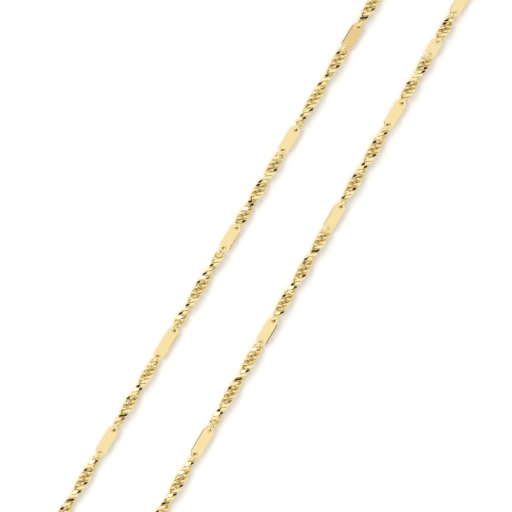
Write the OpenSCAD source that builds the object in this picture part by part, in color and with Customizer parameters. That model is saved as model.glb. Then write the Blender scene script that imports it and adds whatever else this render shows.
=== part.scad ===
// Chain necklace, closed and laid out flat as a long narrow loop.
// Flat bars with an eye at each end alternate with lengths of twisted curb chain.
// +Z is up, +X runs along the loop to its clasp end, and the origin is under its middle.

/* [Loop] */
// Length of the whole necklace along its centre line, clasp included
loop_length = 450; // [430:10:500]
// Distance between the two strands' centre lines, at their middle
strand_gap = 15.9; // [14:0.1:20]
// Angle by which each strand leans outwards from the loop's axis, in degrees
strand_lean = 0.42; // [0:0.02:0.6]
// Straight stretch across each end of the loop, which one bar fills
tip_flat = 5.6; // [5:0.1:6]

/* [Bars] */
// Width of a bar
bar_w = 2.26; // [2.1:0.02:2.4]
// Thickness of a bar
bar_t = 0.5; // [0.4:0.02:0.56]
// Diameter of the eye at each end of a bar
eye_d = 1.04; // [1:0.02:1.08]
// Metal left between an eye and the bar's end
eye_rim = 0.23; // [0.2:0.01:0.28]
// Width of a bar's blunt end
end_w = 1.2; // [1.1:0.02:1.3]
// Length over which each corner of a bar is cut away
corner_l = 0.95; // [0.8:0.05:1]
// How far the sloping facet at each corner reaches in at the bar's blunt end
corner_cut = 0.24; // [0.1:0.01:0.3]
// Width of the cut along a bar's long edges
edge_cut = 0.12; // [0.05:0.01:0.18]

/* [Twisted chain] */
// Greatest width of the chain, which is the width of the round bore that it just passes
chain_w = 2.42; // [2.3:0.02:2.6]
// Thickness of the flat chain before it is twisted
chain_t = 1.54; // [1.4:0.02:1.7]
// Height of the cut facets along the chain's two edges
facet_h = 0.5; // [0.3:0.05:0.7]
// Diameter of the wire of a link
wire_d = 0.58; // [0.5:0.02:0.6]
// Length of a link, outside
link_l = 2.5; // [2.46:0.02:2.56]
// Distance from an eye to the middle of the link that passes through it
eye_to_link = 1.06; // [1.05:0.01:1.1]

/* [Clasp] */
// Radius of the clasp's ring, to the middle of its wire
clasp_r = 2.5; // [2.3:0.1:3]
// Diameter of the clasp's wire
clasp_wire_d = 0.65; // [0.55:0.05:0.65]
// Radius of the clasp's eye, to the middle of its wire
clasp_eye_r = 0.8; // [0.79:0.01:0.84]
// Diameter of the wire of the clasp's eye
clasp_eye_wire_d = 0.6; // [0.5:0.05:0.65]

/* [Hidden] */
// The loop starts at its lower end and runs round it counterclockwise, seen from above.
// Each row is one bar: its middle, in mm along a loop of BARS_LOOP, the distance between its eyes,
// and its roll in degrees, which lifts its outer side, because no bar of a soft chain lies quite flat.
AT = 0;
EYES = 1;
ROLL = 2;
BARS_LOOP = 450;
BARS = [
    [0.0, 5.0, 0],
    [25.9, 5.0, 3],
    [51.8, 5.0, -4],
    [77.7, 5.5, -6],
    [103.3, 4.9, 9],
    [129.7, 5.0, 2],
    [153.7, 5.0, -3],
    [168.9, 2.9, 4],
    [179.7, 5.0, -5],
    [202.3, 5.0, 3],
    [225.0, 5.0, 0],
    [263.3, 5.0, -4],
    [287.5, 4.6, 7],
    [311.6, 4.7, 4],
    [334.4, 4.7, 0],
    [359.1, 6.0, 2],
    [381.9, 5.2, -3],
    [404.6, 5.0, 4],
    [427.3, 5.0, -2]
];
// Middle of the clasp along the same loop
CLASP_AT = 244.5;

// Each row is one twisted length, in the order of the loop: the distance from its first eye
// to a place where the chain stands on edge, and the length of half a turn.
EDGE_AT = 0;
HALF_TURN = 1;
TWISTS = [
    [1.0, 7.3],
    [1.0, 7.3],
    [1.7, 8.6],
    [4.4, 8.3],
    [0.9, 7.3],
    [1.9, 7.7],
    [0.7, 5.7],
    [0.6, 4.8],
    [1.0, 7.3],
    [1.0, 7.3],
    [1.0, 7.3],
    [1.0, 7.3],
    [2.8, 7.6],
    [7.4, 8.8],
    [0.6, 5.9],
    [4.6, 9.3],
    [0.2, 7.1],
    [1.5, 8.8],
    [1.0, 7.3],
    [1.0, 7.3]
];

two_digits = function (n) str(n < 10 ? "0" : "", n);
bar_name = function (i) str("bar_", two_digits(i + 1));
twist_name = function (i) str("twist_", two_digits(i + 1));

chain_z = chain_w / 2;
stretch_ratio = loop_length / BARS_LOOP;
tip_half = tip_flat / 2;
wide_turn = 90 + strand_lean;
tight_turn = 90 - strand_lean;
radians = PI / 180;
// The strands take what the two round ends leave of the loop's length.
strand_l = (loop_length / 2 - tip_flat - PI * (strand_gap / 2 - tip_half))
    / (1 + strand_lean * radians * sin(strand_lean));
wide_r = strand_gap / 2 - tip_half + strand_l / 2 * sin(strand_lean);
tight_r = strand_gap / 2 - tip_half - strand_l / 2 * sin(strand_lean);
loop_l = wide_r * (1 + sin(strand_lean)) + strand_l * cos(strand_lean)
    + tight_r * (1 - sin(strand_lean));

// The centre line, stretch by stretch: the length of each, and the angle it turns through
STRETCHES = [
    [tip_half, 0],
    [wide_r * wide_turn * radians, wide_turn],
    [strand_l, 0],
    [tight_r * tight_turn * radians, tight_turn],
    [tip_flat, 0],
    [tight_r * tight_turn * radians, tight_turn],
    [strand_l, 0],
    [wide_r * wide_turn * radians, wide_turn],
    [tip_half, 0]
];
// A place on the centre line is its X, its Y, its heading and its distance along the loop.
START = [-loop_l / 2, 0, -90, 0];

function moved_on(place, l, turn) =
    let (h = place[2], r = turn == 0 ? 0 : l / (turn * radians))
    turn == 0
        ? [place[0] + l * cos(h), place[1] + l * sin(h), h, place[3] + l]
        : [
            place[0] + r * (sin(h + turn) - sin(h)),
            place[1] + r * (cos(h) - cos(h + turn)),
            h + turn,
            place[3] + l
        ];

function along(at, i = 0, place = START) =
    let (l = STRETCHES[i][0], turn = STRETCHES[i][1], left = at - place[3])
    left <= l || i == len(STRETCHES) - 1
        ? moved_on(place, left, turn * left / l)
        : along(at, i + 1, moved_on(place, l, turn));

// A point beside the centre line: across it to the left and above its height, both rolled about it
function beside(place, across, above, roll) =
    let (side = across * cos(roll) - above * sin(roll))
    [
        place[0] - side * sin(place[2]),
        place[1] + side * cos(place[2]),
        chain_z + across * sin(roll) + above * cos(roll)
    ];

// What each twisted length runs between: the bars, with the clasp in its own place
STOPS = [
    for (b = BARS) [b[AT] * stretch_ratio, b[EYES] / 2, b[EYES] / 2],
    [loop_length, BARS[0][EYES] / 2, BARS[0][EYES] / 2]
];
clasp_bar = max([for (i = [0 : len(BARS) - 1]) BARS[i][AT] < CLASP_AT ? i : 0]);
// The clasp's ring holds one link by its wire, and its eye the other.
hook_gap = 0.08;
link_to_wire = (link_l - wire_d) / 2;
clasp_ring_reach = clasp_r - (clasp_wire_d + wire_d) / 2 - hook_gap + link_to_wire - eye_to_link;
clasp_eye_reach = clasp_r + clasp_eye_r;
clasp_stop = [CLASP_AT * stretch_ratio, clasp_ring_reach, clasp_eye_reach];
ALL_STOPS = [
    for (i = [0 : len(STOPS) - 1])
        each i == clasp_bar ? [STOPS[i], clasp_stop] : [STOPS[i]]
];
function twist_from(i) = ALL_STOPS[i][0] + ALL_STOPS[i][2];
function twist_to(i) = ALL_STOPS[i + 1][0] - ALL_STOPS[i + 1][1];

// The solid of a twisted length starts just past the middle of the link in the eye.
band_inset = 0.15;
ring_gap = 0.9;
link_parts = 12;
wire_sides = 5;
on_edge = 90;

// The twisted chain's section, an octagon with the cut facets as its short sides
chain_r = chain_w / 2;
half_t = chain_t / 2;
half_f = facet_h / 2;
half_w = sqrt(chain_r * chain_r - half_f * half_f);
shoulder = half_w * 0.72;
SECTION = [
    [half_w, -half_f], [half_w, half_f], [shoulder, half_t], [-shoulder, half_t],
    [-half_w, half_f], [-half_w, -half_f], [-shoulder, -half_t], [shoulder, -half_t]
];

function roll_at(i, from_eye) =
    on_edge + 180 * (from_eye - TWISTS[i][EDGE_AT]) / TWISTS[i][HALF_TURN];

// Triangles that join rings of points, closed by flat ends or back onto the first ring
function skin_faces(rings, sides, closed) = [
    for (r = [0 : rings - (closed ? 1 : 2)], s = [0 : sides - 1])
        let (a = r * sides, b = (r + 1) % rings * sides, t = (s + 1) % sides)
        each [[a + s, b + s, b + t], [a + s, b + t, a + t]],
    if (!closed) [for (s = [0 : sides - 1]) s],
    if (!closed) [for (s = [sides - 1 : -1 : 0]) (rings - 1) * sides + s]
];

module band(i) {
    from = twist_from(i) + eye_to_link + band_inset;
    to = twist_to(i) - eye_to_link - band_inset;
    rings = 1 + round((to - from) / ring_gap);
    points = [
        for (r = [0 : rings - 1])
            let (at = from + (to - from) * r / (rings - 1), place = along(at), roll = roll_at(i, at - twist_from(i)))
            each [for (p = SECTION) beside(place, p[0], p[1], roll)]
    ];
    polyhedron(points, skin_faces(rings, len(SECTION), false));
}

// One link of plain wire on edge, which passes through an eye
module eye_link(at) {
    place = along(at);
    wire_r = wire_d / 2;
    long_r = link_l / 2 - wire_r;
    high_r = chain_r - wire_r;
    points = [
        for (p = [0 : link_parts - 1])
            let (
                t = 360 * p / link_parts,
                out = [cos(t) / long_r, sin(t) / high_r],
                size = norm(out)
            )
            each [
                for (s = [0 : wire_sides - 1])
                    let (
                        turn = 360 * s / wire_sides,
                        grow = wire_r * cos(turn) / size,
                        l = long_r * cos(t) + grow * out[0],
                        h = high_r * sin(t) + grow * out[1],
                        side = wire_r * sin(turn)
                    )
                    [
                        place[0] + l * cos(place[2]) - side * sin(place[2]),
                        place[1] + l * sin(place[2]) + side * cos(place[2]),
                        chain_z + h
                    ]
            ]
    ];
    polyhedron(points, skin_faces(link_parts, wire_sides, true));
}

module twist(i) {
    color("gold") {
        band(i);
        eye_link(twist_from(i) + eye_to_link);
        eye_link(twist_to(i) - eye_to_link);
    }
}

// A bar before its eyes are made: a plate whose corners are sloping facets, layer by layer
module bar_blank(half_l) {
    half_h = bar_t / 2;
    layers = [-half_h, edge_cut - half_h, 0, half_h - edge_cut, half_h];
    points = [
        for (h = layers)
            let (
                side = bar_w / 2 - max(0, abs(h) - half_h + edge_cut),
                end = end_w / 2 - corner_cut * abs(h) / half_h,
                l = half_l - corner_l
            )
            each [
                [half_l, -end, h], [half_l, end, h], [l, side, h], [-l, side, h],
                [-half_l, end, h], [-half_l, -end, h], [-l, -side, h], [l, -side, h]
            ]
    ];
    polyhedron(points, skin_faces(len(layers), 8, false));
}

module bar(i) {
    eyes = BARS[i][EYES];
    place = along(BARS[i][AT] * stretch_ratio);
    color("khaki")
        translate([place[0], place[1], chain_z])
            rotate([-BARS[i][ROLL], 0, place[2]])
                difference() {
                    bar_blank(eyes / 2 + eye_d / 2 + eye_rim);
                    for (side = [-1, 1])
                        translate([side * eyes / 2, 0, 0])
                            cylinder(d = eye_d, h = 2 * bar_t, center = true, $fn = 48);
                }
}

// The clasp, one plain piece: a ring of wire with a small eye on the side of the next length
module clasp() {
    place = along(clasp_stop[0]);
    color("goldenrod")
        translate([place[0], place[1], chain_z])
            rotate([0, 0, place[2]]) {
                rotate_extrude($fn = 96) translate([clasp_r, 0]) circle(d = clasp_wire_d, $fn = 32);
                translate([clasp_eye_reach, 0, 0])
                    rotate_extrude($fn = 48)
                        translate([clasp_eye_r, 0]) circle(d = clasp_eye_wire_d, $fn = 32);
            }
}

for (i = [0 : len(BARS) - 1]) bar(i);
for (i = [0 : len(TWISTS) - 1]) twist(i);
clasp();
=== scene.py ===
"""Chain necklace in yellow gold, closed and laid out flat as a long narrow loop.

Flat bars with an eye at each end alternate with twisted lengths of curb chain. The bars and the
clasp are the CAD solids with their real finish. Each twisted length is built here link by link:
rings of drawn wire, bent and hooked into each other, with mirror facets cut along both edges.
All sizes in the classes are millimetres and degrees, and the meshes are metres.
"""

import logging
import math
from dataclasses import dataclass, field, replace
from enum import Enum

import bmesh
import bpy
from mathutils import Matrix, Vector


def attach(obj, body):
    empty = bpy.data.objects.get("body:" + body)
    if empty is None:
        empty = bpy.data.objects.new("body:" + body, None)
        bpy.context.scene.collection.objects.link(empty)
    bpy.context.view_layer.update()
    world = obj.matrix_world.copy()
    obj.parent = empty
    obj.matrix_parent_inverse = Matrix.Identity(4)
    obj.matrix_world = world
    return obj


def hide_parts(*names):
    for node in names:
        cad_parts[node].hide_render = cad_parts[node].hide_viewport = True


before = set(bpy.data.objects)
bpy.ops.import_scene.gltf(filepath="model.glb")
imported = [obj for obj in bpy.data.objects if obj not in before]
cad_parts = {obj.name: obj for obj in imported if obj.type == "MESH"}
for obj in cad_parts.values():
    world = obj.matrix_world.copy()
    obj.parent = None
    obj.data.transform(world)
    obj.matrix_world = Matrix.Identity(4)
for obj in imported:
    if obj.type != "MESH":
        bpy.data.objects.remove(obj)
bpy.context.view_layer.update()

MM = 0.001
WHITE = (1.0, 1.0, 1.0, 1.0)
log = logging.getLogger("chain necklace")


class Slot(Enum):
    """The record's material slots."""

    BARS = "gold_bars"
    CHAIN = "gold_chain"
    CLASP = "gold_clasp"


class End(Enum):
    """One end of a link or of a twisted length, as the sign of its way along the loop."""

    NEAR = -1
    FAR = 1


def linear(code: str) -> tuple[float, float, float, float]:
    """Turns an sRGB hex colour into linear light.

    Args:
        code: Six hex digits, such as "F5E1A0".

    Returns:
        Red, green, blue and an alpha of 1.
    """
    channels = [int(code[i : i + 2], 16) / 255 for i in (0, 2, 4)]
    light = [c / 12.92 if c <= 0.04045 else ((c + 0.055) / 1.055) ** 2.4 for c in channels]
    return (light[0], light[1], light[2], 1.0)


def add_node(
    tree: bpy.types.NodeTree,
    kind: str,
    inputs: dict[str | int, object] | None = None,
    **settings: object,
) -> bpy.types.Node:
    """Adds a node with its settings and its links.

    Args:
        tree: The node tree that it goes into.
        kind: Blender's name of the node's type.
        inputs: Input name or number to a value, or to the output socket that it is linked from.
        **settings: The node's own attributes.

    Returns:
        The new node.
    """
    node = tree.nodes.new(kind)
    for name, value in settings.items():
        setattr(node, name, value)
    for name, value in (inputs or {}).items():
        if isinstance(value, bpy.types.NodeSocket):
            tree.links.new(value, node.inputs[name])
        else:
            node.inputs[name].default_value = value
    return node


def new_material(name: str) -> tuple[bpy.types.Material, bpy.types.NodeTree]:
    """Makes an empty node material.

    Args:
        name: The finish's name.

    Returns:
        The material and its node tree.
    """
    material = bpy.data.materials.new(name)
    material.use_nodes = True
    material.node_tree.nodes.clear()
    return material, material.node_tree


@dataclass(frozen=True)
class YellowGold:
    """Yellow gold of 14 carats, polished: a bright mirror that colours what it reflects.

    The eye sees the white of the room as pale straw yellow on a flat face, and a deep orange yellow
    where the light has gone from wire to wire before it comes out. Wear lies in clouds, which take
    the colour and the roughness from the fresh to the worn value. The ripple is the waviness that
    polishing leaves, drawn as coarse as it has to be to show.
    """

    name: str
    colour: str
    worn_colour: str
    roughness: float
    worn_roughness: float
    cloud_mm: float
    ripple_mm: float
    ripple_height_mm: float
    cloud_detail: float = 3.0
    cloud_grain: float = 0.55
    cloud_from: float = 0.35
    cloud_to: float = 0.7
    ripple_detail: float = 2.0
    ripple_grain: float = 0.5

    def material(self) -> bpy.types.Material:
        """Builds the metal with faint clouds of handling in its gloss and a slight ripple.

        Returns:
            The material.
        """
        material, tree = new_material(self.name)
        place = add_node(tree, "ShaderNodeTexCoord").outputs["Object"]
        clouds, ripple = (
            add_node(
                tree,
                "ShaderNodeTexNoise",
                {"Vector": place, "Scale": 1 / (size * MM), "Detail": detail, "Roughness": grain},
            ).outputs["Fac"]
            for size, detail, grain in (
                (self.cloud_mm, self.cloud_detail, self.cloud_grain),
                (self.ripple_mm, self.ripple_detail, self.ripple_grain),
            )
        )
        gloss = add_node(
            tree,
            "ShaderNodeMapRange",
            {
                "Value": clouds,
                "From Min": self.cloud_from,
                "From Max": self.cloud_to,
                "To Min": self.roughness,
                "To Max": self.worn_roughness,
            },
        )
        tint = add_node(
            tree,
            "ShaderNodeMix",
            {"Factor": clouds, "A": linear(self.colour), "B": linear(self.worn_colour)},
            data_type="RGBA",
        )
        bump = add_node(
            tree,
            "ShaderNodeBump",
            {"Height": ripple, "Strength": 1.0, "Distance": self.ripple_height_mm * MM},
        )
        metal = add_node(
            tree,
            "ShaderNodeBsdfPrincipled",
            {
                "Base Color": tint.outputs["Result"],
                "Metallic": 1.0,
                "Roughness": gloss.outputs["Result"],
                "Normal": bump.outputs["Normal"],
            },
        )
        add_node(tree, "ShaderNodeOutputMaterial", {"Surface": metal.outputs["BSDF"]})
        return material


# Rolled plate, lapped flat on a disc: an almost even mirror, so each bar is one tone.
LAPPED_PLATE = YellowGold(
    name="yellow_gold_lapped_plate",
    colour="EDDCA8",
    worn_colour="EBD49A",
    roughness=0.05,
    worn_roughness=0.10,
    cloud_mm=3.0,
    ripple_mm=1.6,
    ripple_height_mm=0.0006,
)
# The same plate with painted shade: a darker colour, which makes one bar here and there a shade
# darker.
PAINTED_SHADE_PLATE = replace(
    LAPPED_PLATE, name="yellow_gold_plate_painted_shade", colour="DFC68D", worn_colour="DDBF81"
)
# Drawn wire, bright from tumbling: soft highlights along each link.
DRAWN_WIRE = YellowGold(
    name="yellow_gold_drawn_wire",
    colour="F2E4B2",
    worn_colour="ECDA9F",
    roughness=0.22,
    worn_roughness=0.32,
    cloud_mm=0.8,
    ripple_mm=0.3,
    ripple_height_mm=0.0012,
)
# Facets cut with a spinning diamond: the sharpest mirror on the chain, black or white by turns.
DIAMOND_CUT = YellowGold(
    name="yellow_gold_diamond_cut",
    colour="F3E6B5",
    worn_colour="EFDEA7",
    roughness=0.03,
    worn_roughness=0.05,
    cloud_mm=0.8,
    ripple_mm=0.9,
    ripple_height_mm=0.0002,
)
# Cast and barrel polished ring: glossy, with a little more unevenness than the plate.
CAST_RING = YellowGold(
    name="yellow_gold_cast_ring",
    colour="F4DC96",
    worn_colour="E8C876",
    roughness=0.10,
    worn_roughness=0.18,
    cloud_mm=2.0,
    ripple_mm=1.2,
    ripple_height_mm=0.0016,
)


@dataclass(frozen=True)
class OpalSheet:
    """Cast opal acrylic sheet, softly lit from below, which the eye sees as plain white.

    Its pigment is hardly visibly uneven. Close to the chain its colour turns a darker gold and its
    glow golden:
    painted light for the light that the gold throws on it, which isn't traced, and painted shade,
    as the darker colour deepens the shadow beside and under the chain. This paint reaches
    `gold_light_mm`, is full where the sheet is open to the room by less than `gold_light_from`, and
    is gone above `gold_light_to`.
    The glow keeps closer to the metal by `gold_glow_power`.
    """

    name: str = "opal_acrylic_sheet"
    colour: str = "E3E1DE"
    shade_colour: str = "E0DEDB"
    roughness: float = 0.6
    specular: float = 0.2
    cloud_mm: float = 1.5
    cloud_detail: float = 4.0
    glow: float = 0.5
    glow_colour: str = "7C7C7C"
    gold_glow: str = "F2DEB4"
    gold_glow_power: float = 2.5
    gold_light: str = "DFC994"
    gold_light_mm: float = 1.8
    gold_light_from: float = 0.25
    gold_light_to: float = 0.7
    gold_light_rays: int = 8

    def material(self) -> bpy.types.Material:
        """Builds the sheet with its pigment, its glow and the gold's light close to the chain.

        Returns:
            The material.
        """
        material, tree = new_material(self.name)
        place = add_node(tree, "ShaderNodeTexCoord").outputs["Object"]
        clouds = add_node(
            tree,
            "ShaderNodeTexNoise",
            {"Vector": place, "Scale": 1 / (self.cloud_mm * MM), "Detail": self.cloud_detail},
        )
        openness = add_node(
            tree,
            "ShaderNodeAmbientOcclusion",
            {"Distance": self.gold_light_mm * MM},
            samples=self.gold_light_rays,
        )
        nearness = add_node(
            tree,
            "ShaderNodeMapRange",
            {
                "Value": openness.outputs["AO"],
                "From Min": self.gold_light_from,
                "From Max": self.gold_light_to,
                "To Min": 1.0,
                "To Max": 0.0,
            },
        ).outputs["Result"]
        beneath = add_node(
            tree, "ShaderNodeMath", {0: nearness, 1: self.gold_glow_power}, operation="POWER"
        )
        tint = add_node(
            tree,
            "ShaderNodeMix",
            {
                "Factor": clouds.outputs["Fac"],
                "A": linear(self.colour),
                "B": linear(self.shade_colour),
            },
            data_type="RGBA",
        )
        # Near the chain the sheet's colour turns a darker gold: painted light from the gold, and
        # painted shade beside and under the chain.
        painted_gold_light_and_shade = add_node(
            tree,
            "ShaderNodeMix",
            {"Factor": nearness, "A": tint.outputs["Result"], "B": linear(self.gold_light)},
            data_type="RGBA",
        )
        glow = add_node(
            tree,
            "ShaderNodeMix",
            {
                "Factor": beneath.outputs["Value"],
                "A": linear(self.glow_colour),
                "B": linear(self.gold_glow),
            },
            data_type="RGBA",
        )
        sheet = add_node(
            tree,
            "ShaderNodeBsdfPrincipled",
            {
                "Base Color": painted_gold_light_and_shade.outputs["Result"],
                "Roughness": self.roughness,
                "Specular IOR Level": self.specular,
                "Emission Color": glow.outputs["Result"],
                "Emission Strength": self.glow,
            },
        )
        add_node(tree, "ShaderNodeOutputMaterial", {"Surface": sheet.outputs["BSDF"]})
        return material


@dataclass(frozen=True)
class Place:
    """A place on the centre line, with its heading in radians and its distance along the loop."""

    x: float
    y: float
    heading: float
    at: float

    def moved_on(self, length: float, turn: float) -> "Place":
        """Gives the place further along a straight stretch or a bend.

        Args:
            length: Distance along the line.
            turn: Angle that the line turns through on the way, in radians.

        Returns:
            The new place.
        """
        h, at = self.heading, self.at + length
        if turn == 0:
            return Place(self.x + length * math.cos(h), self.y + length * math.sin(h), h, at)
        r = length / turn
        return Place(
            self.x + r * (math.sin(h + turn) - math.sin(h)),
            self.y + r * (math.cos(h) - math.cos(h + turn)),
            h + turn,
            at,
        )


@dataclass(frozen=True)
class Loop:
    """The centre line of the whole necklace, two long strands with a round end at each end."""

    length: float = 450.0
    strand_gap: float = 15.9
    strand_lean: float = 0.42
    tip_flat: float = 5.6
    height: float = 1.21

    def stretches(self) -> list[tuple[float, float]]:
        """Gives the length of each stretch and the angle in radians that it turns through.

        Returns:
            The stretches in order, from the middle of the lower end round the loop.
        """
        lean = math.radians(self.strand_lean)
        round_r = (self.strand_gap - self.tip_flat) / 2
        strand = (self.length / 2 - self.tip_flat - math.pi * round_r) / (1 + lean * math.sin(lean))
        spread = strand / 2 * math.sin(lean)
        wide_turn, tight_turn = math.pi / 2 + lean, math.pi / 2 - lean
        there = [
            (self.tip_flat / 2, 0.0),
            ((round_r + spread) * wide_turn, wide_turn),
            (strand, 0.0),
            ((round_r - spread) * tight_turn, tight_turn),
            (self.tip_flat / 2, 0.0),
        ]
        return there + there[::-1]

    def start(self) -> Place:
        """Finds the middle of the lower end, so that the loop's middle is over the origin.

        Returns:
            The place where the loop starts.
        """
        stretches = self.stretches()
        last = Place(0.0, 0.0, -math.pi / 2, 0.0)
        for length, turn in stretches[: len(stretches) // 2]:
            last = last.moved_on(length, turn)
        return Place(-last.x / 2, 0.0, -math.pi / 2, 0.0)

    def place(self, at: float) -> Place:
        """Finds a place on the line.

        Args:
            at: Distance along the loop.

        Returns:
            The place there.
        """
        here = self.start()
        for length, turn in self.stretches():
            left = at - here.at
            if left <= length:
                return here.moved_on(left, turn * left / length)
            here = here.moved_on(length, turn)
        return here


@dataclass(frozen=True)
class CurbLink:
    """One ring of drawn wire, with its ends turned against each other to hook into the next.

    Its outline is a rounded oblong, which a greater `squareness` makes squarer. On both outer sides
    a facet is cut at each of `facet_tilts`, `facet_depth` into the wire. The wire is swept in
    `parts` parts. Its direction is measured over 1 / `nudge_share` of a part to either side, and
    clearances at `half_steps` steps round each half.
    """

    length: float = 2.5
    width: float = 2.41
    wire_d: float = 0.58
    squareness: float = 2.7
    facet_depth: float = 0.14
    facet_tilts: tuple[float, ...] = (-48.0, 0.0, 48.0)
    parts: int = 32
    wire_sides: int = 12
    nudge_share: int = 8
    half_steps: int = 40

    def half_ring(self, near: float, far: float, end: End) -> list[Vector]:
        """Samples the wire's middle line over one half of the ring.

        Args:
            near: Turn of the near end, in radians.
            far: Turn of the far end, in radians.
            end: The end that the half is at.

        Returns:
            The points, about the link's own middle.
        """
        from_t = -math.pi / 2 * end.value
        return [
            self.wire_middle(from_t + i * math.pi / self.half_steps, near, far)
            for i in range(self.half_steps + 1)
        ]

    def wire_middle(self, t: float, near: float, far: float) -> Vector:
        """Finds a point of the wire's middle line: a flat ring, turned about its long axis.

        Args:
            t: Angle round the ring, 0 at its far end.
            near: Turn of the near end, in radians.
            far: Turn of the far end, in radians.

        Returns:
            The point, along, across and above.
        """
        power = 2 / self.squareness
        half_length, half_width = (self.length - self.wire_d) / 2, (self.width - self.wire_d) / 2
        along = math.copysign(abs(math.cos(t)) ** power, math.cos(t))
        across = math.copysign(abs(math.sin(t)) ** power, math.sin(t)) * half_width
        turn = near + (far - near) * (1 + along) / 2
        return Vector((along * half_length, across * math.cos(turn), across * math.sin(turn)))

    def shape(self, near: float, far: float, cut: bool) -> bmesh.types.BMesh:
        """Sweeps the wire round the ring and cuts the facets on its outer sides.

        Args:
            near: Turn of the near end, in radians.
            far: Turn of the far end, in radians.
            cut: Whether the link has its facets.

        Returns:
            The link about its own middle, in millimetres, with its facets in material slot 1.
        """
        mesh = bmesh.new()
        rings = []
        step = 2 * math.pi / self.parts
        nudge = step / self.nudge_share
        for p in range(self.parts):
            t = p * step
            middle = self.wire_middle(t, near, far)
            ahead = self.wire_middle(t + nudge, near, far) - self.wire_middle(t - nudge, near, far)
            ahead.normalize()
            out = (middle - ahead * middle.dot(ahead)).normalized()
            side = ahead.cross(out)
            ring = []
            for s in range(self.wire_sides):
                a = 2 * math.pi * s / self.wire_sides
                outwards = out * math.cos(a) + side * math.sin(a)
                ring.append(mesh.verts.new(middle + outwards * self.wire_d / 2))
            rings.append(ring)
        for p, ring in enumerate(rings):
            after = rings[(p + 1) % self.parts]
            for s in range(self.wire_sides):
                u = (s + 1) % self.wire_sides
                mesh.faces.new((ring[s], after[s], after[u], ring[u])).smooth = True
        bmesh.ops.recalc_face_normals(mesh, faces=mesh.faces[:])
        if cut:
            for side in (-1, 1):
                for tilt in self.facet_tilts:
                    a = math.radians(tilt)
                    self.cut_facet(mesh, Vector((0, side * math.cos(a), side * math.sin(a))))
        return mesh

    def cut_facet(self, mesh: bmesh.types.BMesh, outwards: Vector) -> None:
        """Cuts one side of the link flat.

        Args:
            mesh: The link.
            outwards: The direction that the facet faces.
        """
        reach = max(v.co.dot(outwards) for v in mesh.verts)
        cut = bmesh.ops.bisect_plane(
            mesh,
            geom=mesh.verts[:] + mesh.edges[:] + mesh.faces[:],
            plane_co=outwards * (reach - self.facet_depth),
            plane_no=outwards,
            clear_outer=True,
        )
        rim = [e for e in cut["geom_cut"] if isinstance(e, bmesh.types.BMEdge)]
        for face in bmesh.ops.holes_fill(mesh, edges=rim)["faces"]:
            face.material_index = 1
            face.smooth = False


@dataclass(frozen=True)
class PlateEye:
    """The round eye near the end of a flat bar, with the bar's end around it and its roll.

    Over the last `corner` the bar narrows from `half_width` to `half_end` on either side.
    """

    roll: float = 0.0
    hole_r: float = 0.52
    rim: float = 0.23
    half_width: float = 1.13
    half_end: float = 0.6
    corner: float = 0.95
    half_thickness: float = 0.25

    def reach(self) -> float:
        """Gives how far the bar's end stands out towards the chain."""
        return self.hole_r + self.rim

    def room(self, point: Vector) -> float:
        """Measures how far a point is from the bar's metal.

        Args:
            point: The point from the eye's middle: towards the chain, across the bar and above it.

        Returns:
            The distance, less than nothing inside the plate.
        """
        above = abs(point.z) - self.half_thickness
        from_middle = math.hypot(point.x, point.y)
        if from_middle < self.hole_r:
            return math.hypot(self.hole_r - from_middle, max(above, 0))
        beyond = max(point.x - self.reach(), 0)
        share = min(max(1 - (self.reach() - point.x) / self.corner, 0), 1)
        narrowed = (self.half_width - self.half_end) * share
        beside = max(abs(point.y) - self.half_width + narrowed, 0)
        if beyond + beside == 0:
            return above
        return math.hypot(beyond, beside, max(above, 0))


@dataclass(frozen=True)
class WireEye:
    """A round eye of wire, and how far behind the chain's starting place its middle is."""

    behind: float
    radius: float
    wire_d: float
    roll: float = 0.0

    def reach(self) -> float:
        """Gives how far the eye stands out towards the chain."""
        return self.radius + self.wire_d / 2 - self.behind

    def room(self, point: Vector) -> float:
        """Measures how far a point is from the eye's wire.

        Args:
            point: The point from the chain's starting place: towards the chain, across and above.

        Returns:
            The distance, less than nothing inside the wire.
        """
        from_middle = math.hypot(point.x + self.behind, point.y)
        return math.hypot(from_middle - self.radius, point.z) - self.wire_d / 2


@dataclass(frozen=True)
class Twist:
    """One twisted length: the eyes that it hangs in, where it stands on edge, its half turn."""

    node: str
    start: float
    end: float
    edge_at: float
    half_turn: float
    eyes: tuple[PlateEye | WireEye, PlateEye | WireEye]


@dataclass(frozen=True)
class Fit:
    """What one twisted length is made of: its link, and how its links follow and hook together.

    `natural` is how far both ends of a link are turned out of its middle plane, in radians, and
    `space` is what that leaves between the wires of two neighbours.
    """

    link: CurbLink
    places: list[Matrix]
    pitch: float
    natural: float
    space: float


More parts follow.
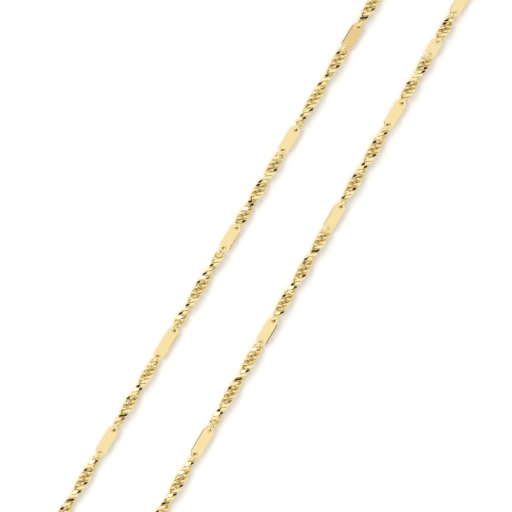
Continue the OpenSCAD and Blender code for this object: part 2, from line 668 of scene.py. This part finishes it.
@dataclass
class TwistedChain:
    """All the twisted lengths of curb chain, each hooked into the eyes at its two ends.

    The ends of the links are turned as little as leaves `gap` between neighbours. Where no turn
    leaves even `least_gap`, the wire gets finer by `wire_step`, down to `finest_wire_d`. An end
    that is in an eye may be turned up to `eye_search` away from that, in steps of
    `eye_search_step`, as long as the link isn't twisted by `most_link_twist` or more.
    """

    loop: Loop
    link: CurbLink = field(default_factory=CurbLink)
    longest_pitch: float = 1.38
    eye_to_link: float = 1.06
    least_turn: int = 40
    most_turn: int = 84
    turn_step: int = 2
    eye_search: int = 160
    eye_search_step: int = 5
    most_link_twist: float = 160.0
    gap: float = 0.02
    least_gap: float = 0.01
    play: float = 0.12
    finest_wire_d: float = 0.47
    wire_step: float = 0.02
    same_step_digits: int = 3

    def fitted_link(self, twist: Twist, pitch: float, wire_d: float) -> CurbLink:
        """Makes the link as long as the next link but one and the eyes leave room for.

        Args:
            twist: The length that the link is in.
            pitch: Distance from one link to the next.
            wire_d: The thickest wire that it may have.

        Returns:
            The link of this length of chain.
        """
        wire_d = min(wire_d, pitch / 2 - self.gap)
        to_eye = self.eye_to_link + pitch - max(eye.reach() for eye in twist.eyes)
        length = min(pitch + 2 * wire_d + self.play, 2 * pitch - self.gap, 2 * (to_eye - self.gap))
        return replace(self.link, length=length, wire_d=wire_d)

    def stand(self, at: float, roll: float) -> Matrix:
        """Gives the matrix of a thing on the centre line.

        Args:
            at: Distance along the loop.
            roll: Its roll about the line, in radians.

        Returns:
            The matrix, in millimetres.
        """
        here = self.loop.place(at)
        return (
            Matrix.Translation((here.x, here.y, self.loop.height))
            @ Matrix.Rotation(here.heading, 4, "Z")
            @ Matrix.Rotation(roll, 4, "X")
        )

    def places(self, twist: Twist, count: int, pitch: float) -> list[Matrix]:
        """Gives the place of each link, a quarter turn rolled where the chain stands on edge.

        Args:
            twist: The length that the links are in.
            count: How many links it has.
            pitch: Distance from one link to the next.

        Returns:
            The links' matrices, in millimetres.
        """
        found = []
        for i in range(count):
            from_eye = self.eye_to_link + i * pitch
            roll = math.pi / 2 + math.pi * (from_eye - twist.edge_at) / twist.half_turn
            found.append(self.stand(twist.start + from_eye, roll))
        return found

    def clearance(
        self,
        link: CurbLink,
        step: Matrix,
        turns: tuple[float, float],
        next_turns: tuple[float, float],
    ) -> float:
        """Measures the space between the wires of two neighbours.

        Args:
            link: The link's form.
            step: The first link's place, seen from the second.
            turns: How far the first link's near and far end are turned, in radians.
            next_turns: How far the second link's ends are turned.

        Returns:
            The smallest space, less than nothing where they would run into each other.
        """
        first = [step @ point for point in link.half_ring(*turns, End.FAR)]
        second = link.half_ring(*next_turns, End.NEAR)
        return min((a - b).length for a in first for b in second) - link.wire_d

    def natural_turn(self, link: CurbLink, places: list[Matrix]) -> tuple[float, float]:
        """Finds how far both ends of a link are turned out of its own middle plane.

        Args:
            link: The link's form.
            places: The places of all links of the length.

        Returns:
            The smallest turn, in radians, at which every two neighbours pass each other, and the
            space between them.
        """
        steps = {}
        for a, b in zip(places, places[1:]):
            step = b.inverted() @ a
            steps[tuple(round(v, self.same_step_digits) for row in step for v in row)] = step
        best = (-math.inf, 0.0)
        for degrees in range(self.least_turn, self.most_turn, self.turn_step):
            turn = math.radians(degrees)
            both = (-turn, turn)
            space = min(self.clearance(link, step, both, both) for step in steps.values())
            if space > best[0]:
                best = (space, turn)
            if space > self.gap:
                break
        return best[1], best[0]

    def fit(self, twist: Twist) -> Fit:
        """Fits the links of one length, of the thickest wire with which neighbours pass.

        Args:
            twist: The length.

        Returns:
            The link, the places of all of them, and how they hook together.
        """
        span = twist.end - twist.start - 2 * self.eye_to_link
        count = math.ceil(span / self.longest_pitch) + 1
        pitch = span / (count - 1)
        places = self.places(twist, count, pitch)
        wire_d, space = self.link.wire_d, 0.0
        while space < self.least_gap and wire_d > self.finest_wire_d:
            link = self.fitted_link(twist, pitch, wire_d)
            natural, space = self.natural_turn(link, places)
            wire_d -= self.wire_step
        return Fit(link, places, pitch, natural, space)

    def eye_turn(self, twist: Twist, fit: Fit, end: End) -> float:
        """Turns the end of a link that is in an eye, so that it clears the eye and the next link.

        Args:
            twist: The length that the link is in.
            fit: The length's links.
            end: The end of the length, and of its link, that is in the eye.

        Returns:
            The turn nearest to the natural one that leaves room, or else the one that leaves most.
        """
        link, natural, side = fit.link, fit.natural, end.value
        if end is End.NEAR:
            eye, at, place, next_place = twist.eyes[0], twist.start, fit.places[0], fit.places[1]
            step = next_place.inverted() @ place
        else:
            eye, at, place, next_place = twist.eyes[1], twist.end, fit.places[-1], fit.places[-2]
            step = place.inverted() @ next_place
        eye_from_link = self.stand(at, -math.radians(eye.roll)).inverted() @ place
        inner = (-natural, natural)
        search = range(-self.eye_search, self.eye_search + 1, self.eye_search_step)
        most = math.radians(self.most_link_twist)
        turns = [side * natural + math.radians(k) for k in search]
        turns = [t for t in turns if abs(t + side * natural) < most]
        turns.sort(key=lambda t: abs(t - side * natural))
        best = (-math.inf, turns[0])
        for turn in turns:
            ends = (turn, natural) if end is End.NEAR else (-natural, turn)
            room = math.inf
            for point in link.half_ring(*ends, end):
                seen = eye_from_link @ point
                room = min(room, eye.room(Vector((-side * seen.x, seen.y, seen.z))))
            room -= link.wire_d / 2
            if room > best[0]:
                pair = (ends, inner) if end is End.NEAR else (inner, ends)
                room = min(room, self.clearance(link, step, *pair))
                if room > best[0]:
                    best = (room, turn)
                if room > self.gap:
                    break
        return best[1]

    def links(self, twist: Twist, fit: Fit) -> bmesh.types.BMesh:
        """Makes the links of one length, each in its place and a closed ring of its own.

        Args:
            twist: The length.
            fit: The length's links.

        Returns:
            All the rings together, in metres.
        """
        first_turn = self.eye_turn(twist, fit, End.NEAR)
        last_turn = self.eye_turn(twist, fit, End.FAR)
        last = len(fit.places) - 1
        whole = bmesh.new()
        for i, place in enumerate(fit.places):
            near = first_turn if i == 0 else -fit.natural
            far = last_turn if i == last else fit.natural
            ring = fit.link.shape(near, far, cut=0 < i < last)
            ring.transform(Matrix.Scale(MM, 4) @ place)
            part = bpy.data.meshes.new("ring")
            ring.to_mesh(part)
            ring.free()
            whole.from_mesh(part)
            bpy.data.meshes.remove(part)
        return whole

    def build(self, twist: Twist, materials: list[bpy.types.Material]) -> bpy.types.Object:
        """Builds one twisted length as a row of separate closed rings.

        Args:
            twist: The length.
            materials: The wire's and the facets' finish.

        Returns:
            The piece, which stands for the CAD band.
        """
        fit = self.fit(twist)
        whole = self.links(twist, fit)
        mesh = bpy.data.meshes.new(twist.node + "_links")
        whole.to_mesh(mesh)
        whole.free()
        for material in materials:
            mesh.materials.append(material)
        piece = bpy.data.objects.new(twist.node + "_links", mesh)
        bpy.context.scene.collection.objects.link(piece)
        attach(piece, "root")
        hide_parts(twist.node)
        log.info(
            "%s: %d links of %.2f mm wire, pitch %.3f mm, ends turned %.0f degrees, %.3f mm apart",
            piece.name,
            len(fit.places),
            fit.link.wire_d,
            fit.pitch,
            math.degrees(fit.natural),
            fit.space,
        )
        return piece


@dataclass(frozen=True)
class Stop:
    """A bar or the clasp on the loop, with the two eyes that the chain hangs in.

    The chain before it ends `before` short of its place, and the next one starts `after` past it.
    """

    at: float
    before: float
    after: float
    eye_before: PlateEye | WireEye
    eye_after: PlateEye | WireEye


@dataclass(frozen=True)
class Stops:
    """The bars and the clasp along the loop, and the twist of the lengths between them."""

    # Each bar's middle along the loop, the distance between its eyes, and its roll.
    bars: tuple[tuple[float, float, float], ...] = (
        (0.0, 5.0, 0), (25.9, 5.0, 3), (51.8, 5.0, -4), (77.7, 5.5, -6), (103.3, 4.9, 9),
        (129.7, 5.0, 2), (153.7, 5.0, -3), (168.9, 2.9, 4), (179.7, 5.0, -5), (202.3, 5.0, 3),
        (225.0, 5.0, 0), (263.3, 5.0, -4), (287.5, 4.6, 7), (311.6, 4.7, 4), (334.4, 4.7, 0),
        (359.1, 6.0, 2), (381.9, 5.2, -3), (404.6, 5.0, 4), (427.3, 5.0, -2),
    )
    # How far after its first eye each twisted length stands on edge, and its half turn's length.
    twists: tuple[tuple[float, float], ...] = (
        (1.0, 7.3), (1.0, 7.3), (1.7, 8.6), (4.4, 8.3), (0.9, 7.3), (1.9, 7.7), (0.7, 5.7),
        (0.6, 4.8), (1.0, 7.3), (1.0, 7.3), (1.0, 7.3), (1.0, 7.3), (2.8, 7.6), (7.4, 8.8),
        (0.6, 5.9), (4.6, 9.3), (0.2, 7.1), (1.5, 8.8), (1.0, 7.3), (1.0, 7.3),
    )
    clasp_at: float = 244.5
    clasp_ring_reach: float = 1.705
    clasp_eye_reach: float = 3.3
    clasp_ring: WireEye = WireEye(behind=1.705, radius=2.5, wire_d=0.65)
    clasp_eye: WireEye = WireEye(behind=0.0, radius=0.8, wire_d=0.6)

    def lengths(self, loop: Loop) -> list[Twist]:
        """Works out which stretch of the loop each twisted length fills.

        Args:
            loop: The loop that the stops are on.

        Returns:
            The twisted lengths in order.
        """
        stops = [
            Stop(at, eyes / 2, eyes / 2, PlateEye(roll), PlateEye(roll))
            for at, eyes, roll in self.bars
        ]
        stops.append(replace(stops[0], at=loop.length))
        stops.append(
            Stop(
                at=self.clasp_at,
                before=self.clasp_ring_reach,
                after=self.clasp_eye_reach,
                eye_before=self.clasp_ring,
                eye_after=self.clasp_eye,
            )
        )
        stops.sort(key=lambda stop: stop.at)
        return [
            Twist(
                node=f"twist_{number:02d}",
                start=a.at + a.after,
                end=b.at - b.before,
                edge_at=edge_at,
                half_turn=half_turn,
                eyes=(a.eye_after, b.eye_before),
            )
            for number, (a, b, (edge_at, half_turn)) in enumerate(
                zip(stops, stops[1:], self.twists), start=1
            )
        ]


@dataclass
class PlateBars:
    """The flat bars, which keep their CAD solids."""

    count: int = 19
    # The bars whose plate has painted shade, a shade darker than the rest.
    painted_shade_bars: tuple[int, ...] = (2, 13, 18)

    def dress(self, plate: bpy.types.Material, painted_shade_plate: bpy.types.Material) -> None:
        """Gives each bar the finish of lapped plate, and a few of them the same plate with painted
        shade.

        Args:
            plate: The finish of most bars.
            painted_shade_plate: The finish of the few bars with painted shade, a shade darker.
        """
        for number in range(1, self.count + 1):
            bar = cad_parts[f"bar_{number:02d}"]
            bar.data.materials.clear()
            bar.data.materials.append(painted_shade_plate if number in self.painted_shade_bars else plate)
            log.info("%s dressed", bar.name)


@dataclass
class RingClasp:
    """The plain clasp ring with its eye, which keeps its CAD solid."""

    node: str = "clasp"

    def dress(self, material: bpy.types.Material) -> None:
        """Gives the clasp the finish of a cast ring.

        Args:
            material: The finish.
        """
        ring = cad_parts[self.node]
        ring.data.materials.clear()
        ring.data.materials.append(material)
        log.info("%s dressed", ring.name)


@dataclass(frozen=True)
class Panel:
    """One soft light: its place seen from the chain, its size, and whether metal mirrors it."""

    name: str
    right: float
    up: float
    height: float
    width: float
    depth: float
    brightness: float
    mirrored: bool = True


@dataclass
class Studio:
    """A white light tent over an opal sheet, two soft lights, and the camera straight above.

    The tent has one dark opening along each long side of the loop, which the facets that lean
    towards it mirror as black. The key panel throws the shadows, and the metal doesn't mirror it.
    The spark panel is what a few facets mirror as white.
    """

    image_turn: float = 30.81
    middle: tuple[float, float] = (2.2, 1.61)
    field_mm: float = 102.4
    distance_mm: float = 700.0
    sensor_mm: float = 36.0
    nearest_m: float = 0.01
    furthest_m: float = 100.0
    board_mm: float = 6000.0
    panels: tuple[Panel, ...] = (
        Panel(
            name="key_panel",
            right=-560.0,
            up=60.0,
            height=500.0,
            width=520.0,
            depth=520.0,
            brightness=4.2,
            mirrored=False,
        ),
        Panel(
            name="spark_panel",
            right=-420.0,
            up=120.0,
            height=700.0,
            width=260.0,
            depth=260.0,
            brightness=1.9,
        ),
    )
    # An opening starts at this share of the direction across the loop. Its sill is at this share
    # upwards, and its two posts are at this share along the loop. The rest is the tent's cloth.
    opening_from: float = 0.6
    opening_to: float = 0.74
    opening_level: float = 0.1
    opening_colour: str = "A86A38"
    sill_from: float = 0.14
    sill_to: float = 0.28
    post_from: float = 0.28
    post_to: float = 0.4
    low_level: float = 1.12
    roof_level: float = 1.11
    roof_from: float = 0.6

    def right(self) -> Vector:
        """Gives the picture's right, on the sheet."""
        a = math.radians(self.image_turn)
        return Vector((math.sin(a), -math.cos(a), 0.0))

    def up(self) -> Vector:
        """Gives the picture's up, on the sheet."""
        a = math.radians(self.image_turn)
        return Vector((math.cos(a), math.sin(a), 0.0))

    def board(self, material: bpy.types.Material) -> None:
        """Lays the opal sheet under the chain.

        Args:
            material: The sheet's finish.
        """
        mesh = bmesh.new()
        bmesh.ops.create_grid(mesh, x_segments=1, y_segments=1, size=self.board_mm / 2 * MM)
        data = bpy.data.meshes.new("board")
        mesh.to_mesh(data)
        mesh.free()
        data.materials.append(material)
        board = bpy.data.objects.new("board", data)
        bpy.context.scene.collection.objects.link(board)

    def lights(self) -> None:
        """Hangs the soft lights beside the chain."""
        for panel in self.panels:
            data = bpy.data.lights.new(panel.name, "AREA")
            data.shape = "RECTANGLE"
            data.size, data.size_y = panel.width * MM, panel.depth * MM
            data.energy = panel.brightness * math.pi * data.size * data.size_y
            light = bpy.data.objects.new(panel.name, data)
            offset = self.right() * panel.right + self.up() * panel.up
            light.location = (offset + Vector((0, 0, panel.height))) * MM
            light.rotation_mode = "QUATERNION"
            light.rotation_quaternion = (-light.location).to_track_quat("-Z", "Y")
            light.visible_glossy = panel.mirrored
            bpy.context.scene.collection.objects.link(light)

    def room(self) -> None:
        """Makes the tent's light: white all round, but for the framed opening on each long side."""
        world = bpy.data.worlds.new("room")
        bpy.context.scene.world = world
        world.use_nodes = True
        tree = world.node_tree
        tree.nodes.clear()
        towards = add_node(tree, "ShaderNodeTexCoord").outputs["Generated"]
        parts = add_node(tree, "ShaderNodeSeparateXYZ", {"Vector": towards}).outputs
        along, across = (
            add_node(tree, "ShaderNodeMath", {0: share}, operation="ABSOLUTE").outputs["Value"]
            for share in (parts["X"], parts["Y"])
        )
        opening, sill, post, tent = (
            add_node(
                tree,
                "ShaderNodeMapRange",
                {
                    "Value": value,
                    "From Min": start,
                    "From Max": end,
                    "To Min": level_at_start,
                    "To Max": level_at_end,
                },
                interpolation_type="SMOOTHSTEP",
            ).outputs["Result"]
            for value, start, end, level_at_start, level_at_end in (
                (across, self.opening_from, self.opening_to, 1.0, self.opening_level),
                (parts["Z"], self.sill_from, self.sill_to, 1.0, 0.0),
                (along, self.post_from, self.post_to, 0.0, 1.0),
                (parts["Z"], 0.0, self.roof_from, self.low_level, self.roof_level),
            )
        )
        edging = add_node(tree, "ShaderNodeMath", {0: sill, 1: post}, operation="MAXIMUM")
        wall = add_node(
            tree, "ShaderNodeMath", {0: opening, 1: edging.outputs["Value"]}, operation="MAXIMUM"
        ).outputs["Value"]
        level = add_node(tree, "ShaderNodeMath", {0: wall, 1: tent}, operation="MULTIPLY")
        colour = add_node(
            tree,
            "ShaderNodeMix",
            {"Factor": wall, "A": linear(self.opening_colour), "B": WHITE},
            data_type="RGBA",
        )
        shade = add_node(
            tree,
            "ShaderNodeBackground",
            {"Color": colour.outputs["Result"], "Strength": level.outputs["Value"]},
        )
        add_node(tree, "ShaderNodeOutputWorld", {"Surface": shade.outputs["Background"]})

    def camera(self) -> None:
        """Sets the camera straight above, turned so that the strands lie as in the photograph."""
        data = bpy.data.cameras.new("camera")
        data.sensor_width = self.sensor_mm
        data.lens = self.sensor_mm * self.distance_mm / self.field_mm
        data.clip_start, data.clip_end = self.nearest_m, self.furthest_m
        camera = bpy.data.objects.new("camera", data)
        place = Matrix.Translation(Vector((*self.middle, self.distance_mm)) * MM)
        turn = Matrix((self.right(), self.up(), Vector((0, 0, 1)))).transposed().to_4x4()
        camera.matrix_world = place @ turn
        bpy.context.scene.collection.objects.link(camera)
        bpy.context.scene.camera = camera

    def tone(self) -> None:
        """Keeps the room's white as plain white."""
        view = bpy.context.scene.view_settings
        view.view_transform = "Standard"
        view.look = "None"
        view.exposure = 0.0
        view.gamma = 1.0


def main() -> None:
    """Builds the necklace and its studio, piece by piece."""
    logging.basicConfig(level=logging.INFO, format="%(message)s")
    studio = Studio()
    studio.camera()
    loop = Loop()
    chain = TwistedChain(loop)
    finishes = [DRAWN_WIRE.material(), DIAMOND_CUT.material()]
    for twist in Stops().lengths(loop):
        chain.build(twist, finishes)
    PlateBars().dress(LAPPED_PLATE.material(), PAINTED_SHADE_PLATE.material())
    RingClasp().dress(CAST_RING.material())
    studio.board(OpalSheet().material())
    studio.lights()
    studio.room()
    studio.tone()


if __name__ == "__main__":
    main()
